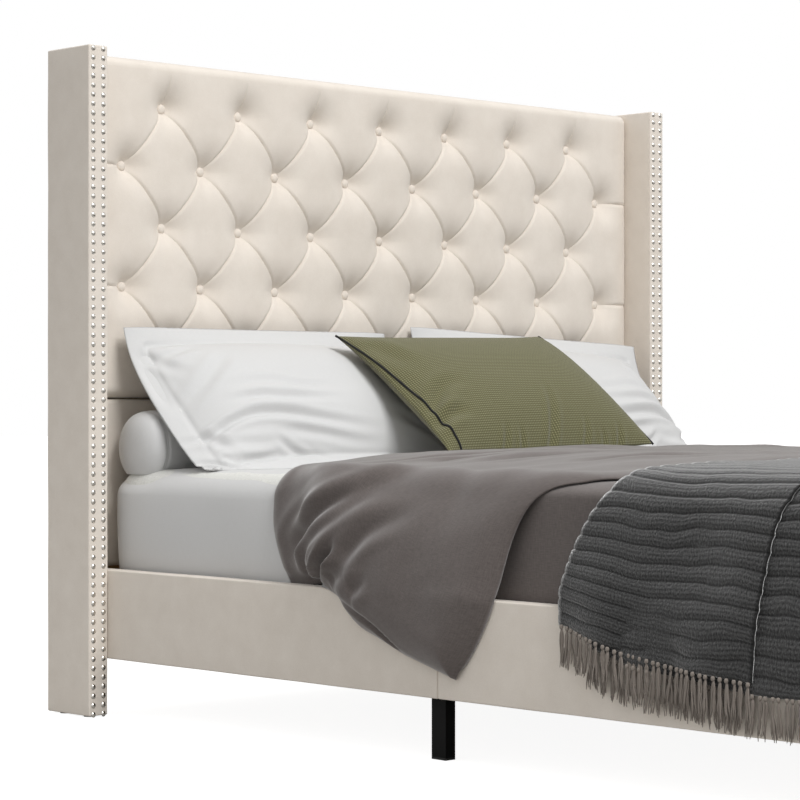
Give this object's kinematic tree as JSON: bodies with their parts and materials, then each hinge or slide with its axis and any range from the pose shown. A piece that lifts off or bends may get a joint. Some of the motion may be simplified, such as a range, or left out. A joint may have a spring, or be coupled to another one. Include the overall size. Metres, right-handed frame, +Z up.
{
  "type": "wingback bed",
  "caption": "Upholstered wingback bed with a diamond tufted headboard, nail trimmed wings, slatted base, mattress and layered bedding.",
  "frame": {"origin": "on the floor at the middle of the bed's plan", "axes": "+Y towards the head end, +Z up, -X the side nearest the camera in the picture"},
  "size_m": [1.704, 2.178, 1.3],
  "materials": {
    "cream_upholstery": "short woven velvet",
    "pine_timber": "planed",
    "plywood": "sanded",
    "dust_cover": "plain weave",
    "nickel_nails": "polished nickel",
    "black_steel": "powder coat",
    "zinc_steel": "zinc plated",
    "black_plastic": "moulded",
    "mattress_ticking": "knitted ticking",
    "white_cotton": "percale",
    "taupe_linen": "washed linen",
    "charcoal_knit": "ribbed knit",
    "taupe_yarn": "knotted yarn",
    "olive_weave": "waffle weave",
    "black_piping": "corded trim"
  },
  "bodies": {
    "frame": {"tufted_pad": "cream_upholstery", "tuft_buttons": "cream_upholstery", "headboard_lower_pad": "cream_upholstery", "headboard_panel": "plywood", "headboard_stiles": "pine_timber", "headboard_cross_rails": "pine_timber", "headboard_back_cover": "dust_cover", "wing_core_right": "pine_timber", "wing_core_left": "pine_timber", "wing_cover_right": "cream_upholstery", "wing_cover_left": "cream_upholstery", "nails_right": "nickel_nails", "nails_left": "nickel_nails", "wing_glides": "black_plastic", "wing_bolts": "zinc_steel", "rail_board_head_right": "pine_timber", "rail_board_head_left": "pine_timber", "rail_board_foot_right": "pine_timber", "rail_board_foot_left": "pine_timber", "rail_cover_head_right": "cream_upholstery", "rail_cover_head_left": "cream_upholstery", "rail_cover_foot_right": "cream_upholstery", "rail_cover_foot_left": "cream_upholstery", "foot_rail_board": "pine_timber", "foot_rail_cover": "cream_upholstery", "ledgers_right": "pine_timber", "ledgers_left": "pine_timber", "slats": "pine_timber", "slat_screws": "zinc_steel", "corner_brackets_head": "black_steel", "corner_brackets_foot": "black_steel", "rail_joint_plates": "black_steel", "beam_hangers": "black_steel", "bracket_bolts": "zinc_steel", "centre_beam": "black_steel", "beam_sleeve": "black_steel", "leg_middle_right": "black_steel", "leg_middle_left": "black_steel", "leg_foot_right": "black_steel", "leg_foot_left": "black_steel", "leg_caps": "black_plastic", "leg_screws": "zinc_steel", "centre_leg_1": "black_steel", "centre_leg_2": "black_steel", "centre_leg_3": "black_steel", "centre_leg_screws": "zinc_steel"},
    "glide_1": {"levelling_glide_1": "black_plastic"},
    "glide_2": {"levelling_glide_2": "black_plastic"},
    "glide_3": {"levelling_glide_3": "black_plastic"},
    "mattress_set": {"mattress": "mattress_ticking", "fitted_sheet": "white_cotton", "duvet": "taupe_linen", "throw_blanket": "charcoal_knit", "throw_fringe": "taupe_yarn"},
    "pillows": {"pillow_left": "white_cotton", "pillow_right": "white_cotton", "accent_pillow": "olive_weave", "accent_piping": "black_piping", "neck_roll": "white_cotton"}
  },
  "joints": [
    {"name": "glide_1_thread", "type": "slide", "parent": "frame", "child": "glide_1", "axis": [0, 0, 1], "range_m": [-0.01, 0.012]},
    {"name": "glide_2_thread", "type": "slide", "parent": "frame", "child": "glide_2", "axis": [0, 0, 1], "range_m": [-0.01, 0.012]},
    {"name": "glide_3_thread", "type": "slide", "parent": "frame", "child": "glide_3", "axis": [0, 0, 1], "range_m": [-0.01, 0.012]},
    {"name": "mattress_lift", "type": "slide", "parent": "frame", "child": "mattress_set", "axis": [0, 0, 1], "range_m": [0, 0.4]},
    {"name": "pillows_lift", "type": "slide", "parent": "mattress_set", "child": "pillows", "axis": [0, 0, 1], "range_m": [0, 0.3]}
  ]
}
